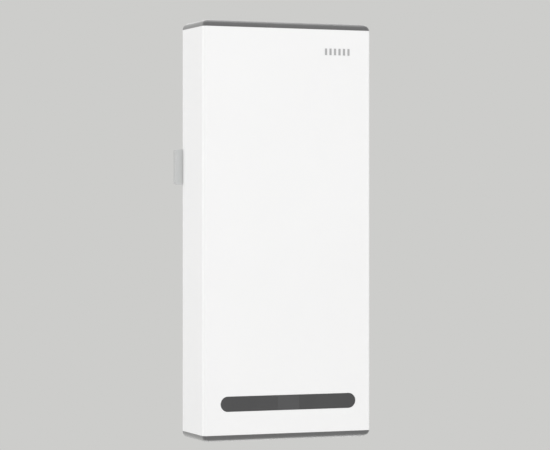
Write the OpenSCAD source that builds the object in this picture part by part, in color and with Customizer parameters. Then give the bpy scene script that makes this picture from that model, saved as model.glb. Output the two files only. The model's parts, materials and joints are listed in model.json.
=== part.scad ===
// Wall ventilator with heat recovery: a slim white cover on a wall frame, with a round duct collar behind.
// Frame: +Z up, +X to the right as seen from the room, +Y into the wall.
// The origin is on the wall plane, at the middle of the four wall screws.

/* [Cover] */
// Width of the white sleeve
body_w = 230; // [220:1:250]
// Height of the cover, end caps included
body_h = 533; // [528:1:560]
// Depth of the white sleeve, from its front face to its rear edge
sleeve_d = 78; // [76:1:90]
// Gap between the sleeve's rear edge and the wall
back_gap = 20; // [20:0.5:24]
// Height of each grey end cap
cap_h = 8.3; // [7:0.1:9]
// Radius of the sleeve's two front edges
edge_r = 5; // [4:0.5:6]
// Thickness of the sleeve's sheet
sheet_t = 1.5; // [1.2:0.1:1.6]

/* [Window and badge] */
// Length of the dark window in the front
window_w = 185.4; // [170:0.2:190]
// Height of the dark window
window_h = 19.3; // [17:0.1:21]
// Height of the window's centre line above the bottom of the cover
window_z = 47.5; // [46:0.5:52]
// How far the window's middle lies to the right of the cover's middle
window_x = 0.9; // [-2:0.1:2]
// Width of the display lens in the middle of the window
lens_w = 30; // [26:1:34]
// Number of plain bars in the badge
badge_bars = 6; // [3:1:7]

/* [Wall frame and duct] */
// Width of the wall frame and of the deck plate
frame_w = 206; // [204:1:208]
// Height of the wall frame
frame_h = 492; // [486:1:494]
// Distance between the wall screws, across
screw_dx = 160; // [150:1:164]
// Distance between the wall screws, up and down
screw_dz = 430; // [424:1:434]
// Height of the duct's centre above the middle of the unit
duct_z = 82; // [80:1:86]
// Outer radius of the duct collar
collar_r = 61.5; // [60.5:0.1:62]
// Length of the duct collar behind the wall plane
collar_l = 58; // [56:1:90]

/* [Filter] */
// Length of the filter cassette, across the unit
filter_l = 198; // [190:1:198]
// Height of the filter cassette
filter_h = 150; // [146:1:150]
// Thickness of the filter cassette
filter_t = 11; // [10:0.1:11]
// How far the pull tab stands out past the side of the sleeve
tab_out = 9.8; // [6:0.2:14]
// Height of the pull tab
tab_h = 45.2; // [36:0.2:50]
// Number of pleats in the filter
pleats = 24; // [16:1:30]

/* [Fan and shutter] */
// Side of the square fan frame
fan_w = 120; // [118:1:120]
// Depth of the fan
fan_d = 25; // [25:0.5:26]
// Number of fan blades
blades = 7; // [5:1:9]

/* [Hidden] */

// Small amount by which a cutter runs past the face that it cuts
eps = 0.5;

// Cover
half_w = body_w / 2;
half_h = body_h / 2;
sleeve_half_h = half_h - cap_h;
rear_y = -back_gap;
front_y = rear_y - sleeve_d;
flange_w = 7;
win_z = window_z - half_h;
skirt_t = 1.8;
skirt_h = 6;
grille_rows = 5;
grille_cols = 4;
slot_w = 5;
slot_l = 42;
slot_pitch_y = 9;
slot_pitch_x = 48;
cap_skin = 3;

// Wall frame and deck
wall_t = 2.2;
frame_corner_r = 8;
half_fw = frame_w / 2;
half_fh = frame_h / 2;
deck_t = 2.5;
deck_y = rear_y - deck_t;
boss_x = half_fw - 11;
boss_z = [-half_fh + 10, -10, 175, half_fh - 20];
wall_screw_r = 2.75;
grommet_x = -70;
grommet_z = -190;
grommet_r = 7.5;
cable_r = 4;

// Duct
collar_t = 2.5;
flange_r = 72;
flange_t = 2.2;
collar_front_y = -wall_t - flange_t;
core_r = 56.4;
core_y = [6, 50];
seal_y = [5, 12];
seal_r = 1.6;
seal_seat_r = collar_r - 1.2;
cell_pitch = 12;
cell_r = 6;
cell_rings = 4;

// Filter
filter_x0 = -half_fw;
filter_x1 = filter_x0 + filter_l;
filter_y0 = rear_y + 1.4;
filter_y1 = filter_y0 + filter_t;
filter_bar = 5;
filter_z0 = duct_z - filter_h / 2;
filter_z1 = duct_z + filter_h / 2;
seal_t = 0.8;

// Fan, from the deck towards the room
mount_h = 9.5;
fan_y1 = deck_y - mount_h;
fan_y0 = fan_y1 - fan_d;
fan_bore_r = 57.5;
fan_hole = 52.5;
fan_hub_r = 20;
fan_tip_r = 56.3;
shaft_r = 1.5;
bearing_r = 3;
tube_r = 4.6;

// Shutter and its gears
gear_module = 1.5;
wheel_teeth = 84;
pinion_teeth = 10;
wheel_r = gear_module * wheel_teeth / 2;
pinion_r = gear_module * pinion_teeth / 2;
pinion_z = duct_z - wheel_r - pinion_r;
base_r = 72;
base_t = 2.2;
base_y = deck_y - base_t;
disc_y1 = base_y - 0.5;
disc_t = 3;
disc_y0 = disc_y1 - disc_t;
port_in_r = 12;
port_out_r = 54;
port_angle = 41;
shutter_ports = 4;
hub_pin_r = 4;
bracket_y1 = disc_y0 - 0.6;
bracket_t = 1.6;
bracket_y0 = bracket_y1 - bracket_t;
motor_z = pinion_z - 8;
motor_r = 14;
motor_l = 19;
motor_ear_x = 17.5;

// Boards
standoff_h = 8;
board_t = 1.6;
board_y1 = deck_y - standoff_h;
board_y0 = board_y1 - board_t;
power_at = [-52, -115];
power_half = [42, 52];
control_at = [52, -115];
control_half = [40, 50];
board_inset = 5;

// Display
holder_y = [front_y + 9, front_y + 12];
holder_post_x = 60;
display_y = [front_y + 7.4, front_y + 9];

// Cover hinge and catches
pivot_y = rear_y - 4;
pivot_z = sleeve_half_h - 8.2;
ear_x = [99, 102];
arm_x = [104, 107];
pin_r = 2;
catch_x = 72;
magnet_r = 5;
magnet_z = [-sleeve_half_h + 3.7, -sleeve_half_h + 9.2];

// ---------- Helpers ----------

// A box between two opposite corners
module block(low, high) {
    translate(low) cube(high - low);
}

// A rectangle with true round corners, by its half sizes
module round_rect(half_x, half_z, r) {
    square([2 * (half_x - r), 2 * half_z], center = true);
    square([2 * half_x, 2 * (half_z - r)], center = true);
    for (sx = [-1, 1], sz = [-1, 1])
        translate([sx * (half_x - r), sz * (half_z - r)]) circle(r, $fn = 48);
}

// Stands a flat outline up in the XZ plane, between two depths
module upright(y0, y1) {
    translate([0, y1, 0]) rotate([90, 0, 0]) linear_extrude(y1 - y0) children();
}

// A plate in the XZ plane
module plate(half_x, half_z, r, y0, y1, x = 0, z = 0) {
    translate([x, 0, z]) upright(y0, y1) round_rect(half_x, half_z, r);
}

// A rod along Y
module rod(r, y0, y1, x = 0, z = 0) {
    translate([x, y0, z]) rotate([-90, 0, 0]) cylinder(r = r, h = y1 - y0, $fn = 64);
}

// A tube along Y
module tube(r_out, r_in, y0, y1, x = 0, z = 0) {
    difference() {
        rod(r_out, y0, y1, x, z);
        rod(r_in, y0 - eps, y1 + eps, x, z);
    }
}

// A rod along X
module cross_rod(r, x0, x1, y, z) {
    translate([x0, y, z]) rotate([0, 90, 0]) cylinder(r = r, h = x1 - x0, $fn = 48);
}

// A rod along Z
module stand_rod(r, z0, z1, x, y) {
    translate([x, y, z0]) cylinder(r = r, h = z1 - z0, $fn = 48);
}

// A ring of round section about an axis along Y
module wire_ring(ring_r, wire_r, y, z = 0) {
    translate([0, y, z]) rotate([90, 0, 0])
        rotate_extrude($fn = 64) translate([ring_r, 0]) circle(wire_r, $fn = 24);
}

// The same thing left and right
module both_sides() {
    children();
    mirror([1, 0, 0]) children();
}

// The four corners of a square round the duct's centre
module fan_corners() {
    for (sx = [-1, 1], sz = [-1, 1])
        translate([sx * fan_hole, 0, duct_z + sz * fan_hole]) children();
}

// The four corners of a board, inset
module board_corners(at, half) {
    for (sx = [-1, 1], sz = [-1, 1])
        translate([at[0] + sx * (half[0] - board_inset), 0, at[1] + sz * (half[1] - board_inset)])
            children();
}

// A flat wedge between two angles, long enough to reach past the shutter
module wedge(middle, span) {
    reach = 100;
    a = middle - span / 2;
    b = middle + span / 2;
    polygon([[0, 0], reach * [cos(a), sin(a)], reach * [cos(b), sin(b)]]);
}

// Gear teeth on a hub radius, with straight flanks
module teeth(first, last, step, start, root_r, tip_r, root_half, tip_half) {
    for (i = [first : last])
        rotate(start + i * step)
            polygon([[root_r - 1, -root_half], [root_r, -root_half], [tip_r, -tip_half],
                     [tip_r, tip_half], [root_r, root_half], [root_r - 1, root_half]]);
}

// A round lead along a list of points
module lead_along(points, r) {
    for (i = [0 : len(points) - 2]) {
        step = points[i + 1] - points[i];
        length = norm(step);
        translate(points[i])
            rotate([0, acos(step[2] / length), atan2(step[1], step[0])])
                cylinder(r = r, h = length, $fn = 24);
    }
    for (i = [1 : len(points) - 2]) translate(points[i]) sphere(1.04 * r, $fn = 24);
}

// ---------- Wall side ----------

// Shallow tray that is screwed to the wall and holds everything
module wall_frame() {
    color("gainsboro") difference() {
        union() {
            difference() {
                plate(half_fw, half_fh, frame_corner_r, rear_y, 0);
                plate(half_fw - wall_t, half_fh - wall_t, frame_corner_r - wall_t, rear_y - eps, -wall_t);
            }
            for (x = [-boss_x, boss_x], z = boss_z) rod(4.5, rear_y, -wall_t / 2, x, z);
            for (sx = [-1, 1], sz = [-1, 1])
                rod(7, -6, -wall_t / 2, sx * screw_dx / 2, sz * screw_dz / 2);
            for (z = [filter_z0 - 3.2, filter_z1 + 1.4])
                block([-half_fw + 1, filter_y0 + 1, z], [half_fw - 8, -wall_t / 2, z + 1.8]);
            block([filter_x1 + 1.2, filter_y0 + 1, filter_z0 + 12],
                  [filter_x1 + 3, -wall_t / 2, filter_z1 - 12]);
        }
        // Duct, wall screws, cable and deck screws
        rod(collar_r + 0.05, -wall_t - eps, eps, 0, duct_z);
        for (sx = [-1, 1], sz = [-1, 1])
            rod(wall_screw_r, -6 - eps, eps, sx * screw_dx / 2, sz * screw_dz / 2);
        rod(grommet_r, -wall_t - eps, eps, grommet_x, grommet_z);
        for (x = [-boss_x, boss_x], z = boss_z) rod(1.6, rear_y - eps, rear_y + 9, x, z);
        for (k = [0 : 3])
            rod(1.6, -wall_t - eps, -wall_t + 1.4, 67 * cos(45 + 90 * k), duct_z + 67 * sin(45 + 90 * k));
        // Way in for the filter, and a break-out for a surface cable
        block([-half_fw - eps, rear_y - eps, filter_z0 - 1.2],
              [-half_fw + wall_t + eps, filter_y1 + 0.6, filter_z1 + 1.2]);
        block([-18, -16, -half_fh - eps], [18, -5, -half_fh + wall_t + eps]);
    }
}

// Tube that goes into the wall duct
module duct_collar() {
    color("whitesmoke") difference() {
        union() {
            rod(flange_r, collar_front_y, -wall_t, 0, duct_z);
            rod(collar_r, -wall_t - eps, collar_l, 0, duct_z);
        }
        rod(collar_r - collar_t - 5, collar_front_y - eps, 5.5, 0, duct_z);
        rod(collar_r - collar_t, collar_front_y - eps, 3, 0, duct_z);
        rod(collar_r - collar_t, 5.4, collar_l + eps, 0, duct_z);
        for (y = seal_y) tube(collar_r + 1, seal_seat_r, y - 1.8, y + 1.8, 0, duct_z);
        for (a = [45 : 90 : 315])
            rod(1.7, collar_front_y - eps, -wall_t + eps, 67 * cos(a), duct_z + 67 * sin(a));
    }
}

// Screws that hold the collar's flange to the frame
module collar_screws() {
    color("silver") for (k = [0 : 3]) {
        x = 67 * cos(45 + 90 * k);
        z = duct_z + 67 * sin(45 + 90 * k);
        rod(2.8, collar_front_y - 1.6, collar_front_y, x, z);
        rod(1.5, collar_front_y - 0.1, -wall_t + 1.2, x, z);
    }
}

// Two rubber rings that seal the collar in the wall duct
module duct_seals() {
    color("dimgray") for (y = seal_y) wire_ring(seal_seat_r + seal_r + 0.05, seal_r, y, duct_z);
}

// Honeycomb block that stores heat between breaths
module heat_core() {
    color("wheat") difference() {
        rod(core_r, core_y[0], core_y[1], 0, duct_z);
        translate([0, core_y[1] + eps, duct_z]) rotate([90, 0, 0])
            for (i = [-cell_rings : cell_rings], j = [-cell_rings : cell_rings])
                if (abs(i + j) <= cell_rings)
                    translate([cell_pitch * (i + j / 2), cell_pitch * sqrt(3) / 2 * j, 0])
                        rotate(30) cylinder(r = cell_r, h = core_y[1] - core_y[0] + 2 * eps, $fn = 6);
    }
}

// Foam band between the core and the collar
module core_gasket() {
    color("dimgray") tube(collar_r - collar_t - 0.05, core_r + 0.05, core_y[0], core_y[1], 0, duct_z);
}

// Ring that keeps the core in the collar
module core_ring() {
    color("gray") tube(collar_r - collar_t - 0.05, 51, core_y[1] + 0.3, core_y[1] + 2.8, 0, duct_z);
}

// Rubber bush for the mains cable
module cable_grommet() {
    color("dimgray") difference() {
        union() {
            rod(grommet_r - 0.02, -wall_t - 0.1, -0.3, grommet_x, grommet_z);
            rod(11, -6, -wall_t, grommet_x, grommet_z);
        }
        rod(cable_r, -6 - eps, eps, grommet_x, grommet_z);
    }
}

// ---------- Deck ----------

// Plate that closes the frame and carries the fan, the shutter and the boards
module deck_plate() {
    color("whitesmoke") difference() {
        union() {
            plate(half_fw, half_fh, frame_corner_r, deck_y, rear_y);
            board_corners(power_at, power_half) rod(3, board_y1, deck_y + 0.1);
            board_corners(control_at, control_half) rod(3, board_y1, deck_y + 0.1);
        }
        rod(56, deck_y - eps, rear_y + eps, 0, duct_z);
        for (sx = [-1, 1], sz = [-1, 1])
            rod(5.5, deck_y - eps, rear_y + eps, sx * screw_dx / 2, sz * screw_dz / 2);
        // Notch that brings the cable round to the front
        rod(8, deck_y - eps, rear_y + eps, grommet_x, grommet_z);
        block([-half_fw - eps, deck_y - eps, grommet_z - 8], [grommet_x, rear_y + eps, grommet_z + 8]);
        for (x = [-boss_x, boss_x], z = boss_z) rod(1.9, deck_y - eps, rear_y + eps, x, z);
        fan_corners() rod(2, deck_y - eps, rear_y + eps);
        board_corners(power_at, power_half) rod(1.3, board_y1 - eps, deck_y);
        board_corners(control_at, control_half) rod(1.3, board_y1 - eps, deck_y);
    }
}

// Screws that hold the deck to the frame
module deck_screws() {
    color("silver") for (x = [-boss_x, boss_x], z = boss_z) {
        rod(3.4, deck_y - 2, deck_y, x, z);
        rod(1.5, deck_y - 0.1, rear_y + 8, x, z);
    }
}

// Two ears that the cover's hinge pins turn in
module hinge_brackets() {
    color("silver") both_sides() difference() {
        union() {
            block([ear_x[0], pivot_y - 6, pivot_z - 13], [ear_x[1], deck_y, pivot_z + 5]);
            block([ear_x[0] - 14, deck_y - 2, pivot_z - 13], [ear_x[1], deck_y, pivot_z - 5]);
        }
        cross_rod(pin_r + 0.05, ear_x[0] - eps, ear_x[1] + eps, pivot_y, pivot_z);
    }
}

// Holders for the catch magnets, at the foot of the deck
module magnet_holders() {
    color("gray") both_sides() difference() {
        block([catch_x - 10, deck_y - 14, -half_fh - 6], [catch_x + 10, deck_y, -half_fh + 4]);
        stand_rod(magnet_r, -half_fh - 6 - eps, magnet_z[1], catch_x, deck_y - 7);
    }
}

// Round magnets that keep the cover shut
module catch_magnets() {
    color("silver") both_sides() stand_rod(magnet_r, magnet_z[0], magnet_z[1], catch_x, deck_y - 7);
}

// ---------- Shutter ----------

// Outline of the ports of the shutter, turned by an angle
module shutter_port_outline(turn) {
    for (k = [0 : shutter_ports - 1])
        intersection() {
            difference() {
                circle(port_out_r, $fn = 96);
                circle(port_in_r, $fn = 48);
            }
            wedge(turn + 360 / shutter_ports * k, port_angle);
        }
}

// Fixed ring with four ports and the hub pin
module shutter_base() {
    color("gainsboro") difference() {
        union() {
            translate([0, 0, duct_z]) upright(base_y, deck_y) difference() {
                circle(base_r, $fn = 96);
                shutter_port_outline(0);
            }
            rod(hub_pin_r, disc_y0 - 1.8, base_y + 0.1, 0, duct_z);
        }
        fan_corners() rod(6.6, base_y - eps, deck_y + eps);
    }
}

// Clip that keeps the disc on its pin
module shutter_clip() {
    color("silver") tube(7, hub_pin_r, disc_y0 - 1.2, disc_y0 - 0.3, 0, duct_z);
}

// Turning disc with four ports and a stretch of gear teeth
module shutter_disc() {
    step = 360 / wheel_teeth;
    side_teeth = 13;
    root_r = 61.2;
    color("lightgray") translate([0, 0, duct_z]) upright(disc_y0, disc_y1) difference() {
        union() {
            circle(root_r, $fn = 96);
            teeth(-side_teeth, side_teeth, step, -90, root_r, wheel_r + 1.3, 1.25, 0.5);
        }
        circle(hub_pin_r + 0.06, $fn = 48);
        shutter_port_outline(180 / shutter_ports);
    }
}

// Small gear on the motor's shaft, one piece with it
module drive_pinion() {
    step = 360 / pinion_teeth;
    root_r = 5.8;
    color("khaki") translate([0, 0, pinion_z]) {
        upright(disc_y0 + 0.1, disc_y1 - 0.1) {
            circle(root_r, $fn = 48);
            teeth(0, pinion_teeth - 1, step, 90 + step / 2, root_r, pinion_r + 1.3, 1.3, 0.45);
        }
        rod(2.5, bracket_y0 - 2, disc_y0 + 0.2);
    }
}

// Bridge that holds the motor in front of the pinion
module motor_bracket() {
    color("silver") difference() {
        union() {
            block([-26, bracket_y0, motor_z - 16], [26, bracket_y1, motor_z + 17]);
            both_sides() {
                block([24.4, bracket_y0, motor_z - 16], [26, deck_y, motor_z + 2]);
                block([24.4, deck_y - 1.6, motor_z - 16], [36, deck_y, motor_z - 4]);
            }
        }
        rod(4.8, bracket_y0 - eps, bracket_y1 + eps, 0, pinion_z);
        both_sides() rod(1.5, bracket_y0 - eps, bracket_y1 + eps, motor_ear_x, motor_z);
    }
}

// Geared motor that turns the shutter
module shutter_motor() {
    ear_t = 1;
    color("silver") difference() {
        union() {
            rod(motor_r, bracket_y0 - motor_l, bracket_y0, 0, motor_z);
            plate(21, 3.5, 3.4, bracket_y0 - ear_t, bracket_y0, 0, motor_z);
            rod(4.5, bracket_y0 - 0.1, bracket_y1 - 0.2, 0, pinion_z);
            block([-7.5, bracket_y0 - motor_l + 1, motor_z - 17], [7.5, bracket_y0 - 2, motor_z - 11]);
        }
        rod(2.56, bracket_y0 - 2.2, bracket_y1 + eps, 0, pinion_z);
        both_sides() rod(1.6, bracket_y0 - ear_t - eps, bracket_y0 + eps, motor_ear_x, motor_z);
    }
}

// Screws of the motor's ears, its bridge and the shutter's base
module motor_screws() {
    color("gray") {
        both_sides() {
            rod(2.6, bracket_y0 - 2.8, bracket_y0 - 1, motor_ear_x, motor_z);
            rod(1.5, bracket_y0 - 1.1, bracket_y1, motor_ear_x, motor_z);
        }
    }
}

// ---------- Fan ----------

// Square frame, bearing tube and the struts that carry it
module fan_frame() {
    hub_y = [fan_y1 - 2.6, fan_y1 - 0.4];
    color("dimgray") difference() {
        union() {
            difference() {
                union() {
                    plate(fan_w / 2, fan_w / 2, 4, fan_y0, fan_y0 + 4, 0, duct_z);
                    plate(fan_w / 2, fan_w / 2, 4, fan_y1 - 4, fan_y1, 0, duct_z);
                    rod(fan_w / 2 - 0.2, fan_y0, fan_y1, 0, duct_z);
                }
                rod(fan_bore_r, fan_y0 - eps, fan_y1 + eps, 0, duct_z);
            }
            rod(fan_hub_r, hub_y[0], hub_y[1], 0, duct_z);
            for (k = [0 : 3]) translate([0, 0, duct_z]) rotate([0, 45 + 90 * k, 0])
                block([fan_hub_r - 1, hub_y[0], -2], [fan_bore_r + 1, hub_y[1], 2]);
            rod(tube_r, fan_y0 + 7, hub_y[0] + 0.1, 0, duct_z);
        }
        rod(bearing_r, fan_y0 + 7 - eps, hub_y[0], 0, duct_z);
        fan_corners() rod(2.2, fan_y0 - eps, fan_y1 + eps);
    }
}

// Laminated core with four poles
module fan_stator() {
    color("slategray") translate([0, 0, duct_z]) upright(fan_y0 + 8, fan_y0 + 18) {
        difference() {
            circle(7.5, $fn = 48);
            circle(tube_r + 0.02, $fn = 48);
        }
        for (k = [0 : 3]) rotate(90 * k) {
            translate([7, -1.5]) square([7, 3]);
            intersection() {
                difference() {
                    circle(15.6, $fn = 64);
                    circle(13.6, $fn = 64);
                }
                wedge(0, 66);
            }
        }
    }
}

// Copper windings round the four poles
module fan_coils() {
    color("peru") for (k = [0 : 3]) translate([0, 0, duct_z]) rotate([0, 90 * k, 0]) difference() {
        block([8.4, fan_y0 + 6.6, -4], [13, fan_y0 + 19.4, 4]);
        block([8, fan_y0 + 8 - 0.02, -1.52], [13.5, fan_y0 + 18 + 0.02, 1.52]);
    }
}

// Two small bearings in the fan's tube
module fan_bearings() {
    color("silver") for (y = [fan_y0 + 8, fan_y1 - 6]) tube(bearing_r, shaft_r + 0.04, y, y + 3, 0, duct_z);
}

// Hub and blades
module fan_impeller() {
    hub_y = [fan_y0 + 1.4, fan_y1 - 4];
    blade_y = (fan_y0 + fan_y1) / 2 - 1;
    arc_r = 21;
    blade_t = 1.6;
    color("darkslategray") {
        difference() {
            rod(fan_hub_r, hub_y[0], hub_y[1], 0, duct_z);
            rod(fan_hub_r - 1.5, hub_y[0] + 1.8, hub_y[1] + eps, 0, duct_z);
        }
        difference() {
            rod(3.6, hub_y[0] + 1.7, hub_y[0] + 4, 0, duct_z);
            rod(shaft_r, hub_y[0] + 1.8, hub_y[0] + 4 + eps, 0, duct_z);
        }
        intersection() {
            tube(fan_tip_r, fan_hub_r - 0.6, hub_y[0], hub_y[1], 0, duct_z);
            for (k = [0 : blades - 1])
                translate([0, blade_y, duct_z]) rotate([0, 360 / blades * k, 0])
                    rotate([0, 90, 0]) rotate(42) translate([arc_r - 2, 0, fan_hub_r - 1.2])
                        linear_extrude(fan_tip_r - fan_hub_r + 3) intersection() {
                            difference() {
                                circle(arc_r, $fn = 96);
                                circle(arc_r - blade_t, $fn = 96);
                            }
                            wedge(180, 66);
                        }
        }
    }
}

// Steel shaft, pressed into the hub
module fan_shaft() {
    color("silver") rod(shaft_r, fan_y0 + 3.2, fan_y1 - 3, 0, duct_z);
}

// Ring magnet inside the hub
module fan_magnet() {
    color("black") tube(fan_hub_r - 1.5, 16.6, fan_y0 + 7, fan_y1 - 5, 0, duct_z);
}

// Rubber mounts between the fan and the deck
module fan_mounts() {
    color("dimgray") fan_corners() difference() {
        union() {
            rod(6, fan_y1, fan_y1 + 2.5);
            rod(4.6, fan_y1 + 2.4, deck_y - 2.4);
            rod(6, deck_y - 2.5, deck_y);
        }
        rod(2.1, fan_y1 - eps, deck_y + eps);
    }
}

// Long screws through the grille, the fan and its mounts
module fan_screws() {
    color("silver") fan_corners() {
        rod(3.8, fan_y0 - 4.4, fan_y0 - 2);
        rod(1.98, fan_y0 - 2.1, rear_y - 0.2);
    }
}

// Finger guard in front of the fan: rings and four arms, stamped from one sheet
module fan_grille() {
    ring_w = 1.8;
    arm_w = 2.2;
    color("silver") difference() {
        translate([0, 0, duct_z]) upright(fan_y0 - 2, fan_y0 - 0.2) {
            for (ring_r = [14 : 10 : 54]) difference() {
                circle(ring_r, $fn = 96);
                circle(ring_r - ring_w, $fn = 96);
            }
            for (k = [0 : 3]) rotate(45 + 90 * k) {
                translate([13, -arm_w / 2]) square([fan_hole * sqrt(2) - 13, arm_w]);
                translate([fan_hole * sqrt(2), 0]) circle(4.4, $fn = 48);
            }
        }
        fan_corners() rod(2.1, fan_y0 - 3, fan_y0 + eps);
    }
}

// ---------- Boards ----------

// Mains supply board
module power_board() {
    color("darkgreen") difference() {
        plate(power_half[0], power_half[1], 2, board_y0, board_y1, power_at[0], power_at[1]);
        board_corners(power_at, power_half) rod(1.6, board_y0 - eps, board_y1 + eps);
    }
}

// Transformer: core, bobbin and winding
module transformer() {
    x = power_at[0] - 14;
    z = power_at[1] + 22;
    color("goldenrod") {
        block([x - 17, board_y0 - 24, z - 8], [x + 17, board_y0 - 1.5, z + 8]);
        block([x - 11, board_y0 - 21, z - 14], [x + 11, board_y0 - 4.5, z + 14]);
        for (foot_x = [x - 12, x + 12])
            block([foot_x - 3, board_y0 - 2, z - 12], [foot_x + 3, board_y0, z + 12]);
    }
}

// Can capacitors and the small round parts of the supply
module capacitors() {
    color("midnightblue") {
        for (k = [0, 1]) rod(8, board_y0 - 24, board_y0, power_at[0] + 26, power_at[1] + 30 - 20 * k);
        for (k = [0 : 2]) rod(4, board_y0 - 12, board_y0, power_at[0] + 28 - 11 * k, power_at[1] - 8);
    }
}

// Screw terminals for the mains cable
module terminal_block() {
    ways = 4;
    pitch = 10;
    x0 = power_at[0] - 34;
    z = power_at[1] - 38;
    color("seagreen") difference() {
        block([x0, board_y0 - 15, z - 7], [x0 + ways * pitch, board_y0, z + 7]);
        for (k = [0 : ways - 1]) {
            rod(2.6, board_y0 - 16, board_y0 - 9, x0 + pitch * (k + 0.5), z + 2.5);
            block([x0 + pitch * k + 2, board_y0 - 7.5, z - 8],
                  [x0 + pitch * (k + 1) - 2, board_y0 - 2, z - 1]);
        }
    }
}

// Logic board
module control_board() {
    color("darkgreen") difference() {
        plate(control_half[0], control_half[1], 2, board_y0, board_y1, control_at[0], control_at[1]);
        board_corners(control_at, control_half) rod(1.6, board_y0 - eps, board_y1 + eps);
    }
}

// Shielded radio module and the main chips
module radio_module() {
    x = control_at[0];
    z = control_at[1];
    color("silver") {
        block([x - 12, board_y0 - 1, z + 12], [x + 12, board_y0, z + 42]);
        block([x - 9, board_y0 - 3.4, z + 14], [x + 9, board_y0 - 0.9, z + 34]);
        block([x - 8, board_y0 - 1.6, z - 14], [x + 8, board_y0, z + 2]);
        block([x + 16, board_y0 - 2.2, z - 6], [x + 24, board_y0, z + 8]);
    }
}

// Plug sockets along the edges of the logic board
module board_connectors() {
    x = control_at[0];
    z = control_at[1];
    color("white") {
        block([x + 16, board_y0 - 8, z + 26], [x + 30, board_y0, z + 33]);
        block([x - 36, board_y0 - 8, z + 10], [x - 29, board_y0, z + 26]);
        block([x - 36, board_y0 - 8, z - 26], [x - 29, board_y0, z - 8]);
        block([x - 18, board_y0 - 5, z - 46], [x, board_y0, z - 40]);
    }
}

// Screws at the corners of both boards
module board_screws() {
    color("silver") {
        board_corners(power_at, power_half) {
            rod(2.8, board_y0 - 1.8, board_y0);
            rod(1.25, board_y0 - 0.1, board_y1 + 6);
        }
        board_corners(control_at, control_half) {
            rod(2.8, board_y0 - 1.8, board_y0);
            rod(1.25, board_y0 - 0.1, board_y1 + 6);
        }
    }
}

// Bridge that brings the display up to the window
module display_holder() {
    color("gainsboro") difference() {
        union() {
            plate(78, 9, 3, holder_y[0], holder_y[1], 0, win_z);
            both_sides() {
                rod(4, holder_y[1] - 0.1, deck_y, holder_post_x, win_z);
                rod(7, deck_y - 2.5, deck_y, holder_post_x, win_z);
            }
        }
        block([-24, holder_y[0] - eps, win_z - 4], [24, holder_y[1] + eps, win_z + 4]);
    }
}

// Long board behind the window, with the touch keys
module display_board() {
    color("darkgreen") plate(76, 7.5, 1.5, display_y[0], display_y[1], 0, win_z);
}

// Digit block behind the lens, and two rows of small lamps
module digit_module() {
    color("dimgray") {
        block([-13, display_y[0] - 3.4, win_z - 6], [13, display_y[0], win_z + 6]);
        for (sx = [-1, 1], k = [0 : 2])
            block([sx * (28 + 16 * k) - 2, display_y[0] - 1.4, win_z - 1.5],
                  [sx * (28 + 16 * k) + 2, display_y[0], win_z + 1.5]);
    }
}

// ---------- Leads ----------

// Fan's two-core lead, from its frame to the logic board
module fan_lead() {
    socket = [control_at[0] + 23, control_at[1] + 34.6];
    color("black") lead_along([
        [56, fan_y1 - 7, duct_z - fan_w / 2 - 1.6], [60, fan_y1 - 9, 8], [72, board_y0 - 12, -30],
        [socket[0], board_y0 - 9, -60], [socket[0], board_y0 - 4, socket[1]]
    ], 1.5);
}

// Motor's lead, from its plug block to the logic board
module motor_lead() {
    socket = [control_at[0] - 38.2, control_at[1] + 18];
    color("firebrick") lead_along([
        [0, bracket_y0 - 10, motor_z - 19], [1, bracket_y0 - 10, -30], [3, board_y0 - 8, -60],
        [5, board_y0 - 4, socket[1]], [socket[0], board_y0 - 4, socket[1]]
    ], 2);
}

// Low-voltage lead from the supply to the logic board
module power_lead() {
    socket_z = control_at[1] - 17;
    color("firebrick") lead_along([
        [power_at[0] + 30, board_y0 - 1.6, power_at[1] - 30],
        [power_at[0] + 38, board_y0 - 6, power_at[1] - 30],
        [0, board_y0 - 8, power_at[1] - 24], [8, board_y0 - 5, socket_z],
        [control_at[0] - 38.2, board_y0 - 5, socket_z]
    ], 1.5);
}

// Flat ribbon from the logic board up to the display
module display_ribbon() {
    ribbon_t = 0.8;
    ribbon_w = 12;
    top_z = control_at[1] - 46.2;
    end_z = win_z + 5;
    up_y = holder_y[1] + 0.4;
    translate([control_at[0] - 9 - ribbon_w / 2, 0, 0]) color("lightgray") {
        block([0, board_y0 - 4, top_z - 12], [ribbon_w, board_y0 - 4 + ribbon_t, top_z]);
        block([0, up_y, top_z - 12 - ribbon_t], [ribbon_w, board_y0 - 4 + ribbon_t, top_z - 12]);
        block([0, up_y, end_z - 8], [ribbon_w, up_y + ribbon_t, top_z - 12]);
    }
}

// ---------- Filter cassette ----------

// Open frame round the pleats, with two cross bars at the back
module filter_frame() {
    x_mid = (filter_x0 + filter_x1) / 2;
    bar_w = 3;
    color("gainsboro") {
        difference() {
            plate(filter_l / 2, filter_h / 2, 2, filter_y0, filter_y1, x_mid, duct_z);
            plate(filter_l / 2 - filter_bar, filter_h / 2 - filter_bar, 1, filter_y0 - eps, filter_y1 + eps,
                  x_mid, duct_z);
        }
        for (sx = [-1, 1])
            block([x_mid + sx * 32 - bar_w / 2, filter_y1 - 1.2, filter_z0 + 1],
                  [x_mid + sx * 32 + bar_w / 2, filter_y1, filter_z1 - 1]);
    }
}

// Pleated medium, one folded sheet
module filter_media() {
    x0 = filter_x0 + filter_bar + 0.3;
    x1 = filter_x1 - filter_bar - 0.3;
    pitch = (x1 - x0) / pleats;
    y_near = filter_y0 + 0.8;
    y_far = filter_y1 - 1.6;
    sheet = 1;
    fold_y = [for (i = [0 : 2 * pleats]) i % 2 == 0 ? y_near : y_far - sheet];
    near_side = [for (i = [0 : 2 * pleats]) [x0 + pitch * i / 2, fold_y[i]]];
    far_side = [for (i = [2 * pleats : -1 : 0]) [x0 + pitch * i / 2, fold_y[i] + sheet]];
    inner_h = filter_h - 2 * filter_bar - 0.6;
    color("ivory") translate([0, 0, duct_z - inner_h / 2]) linear_extrude(inner_h)
        polygon(concat(near_side, far_side));
}

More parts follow.
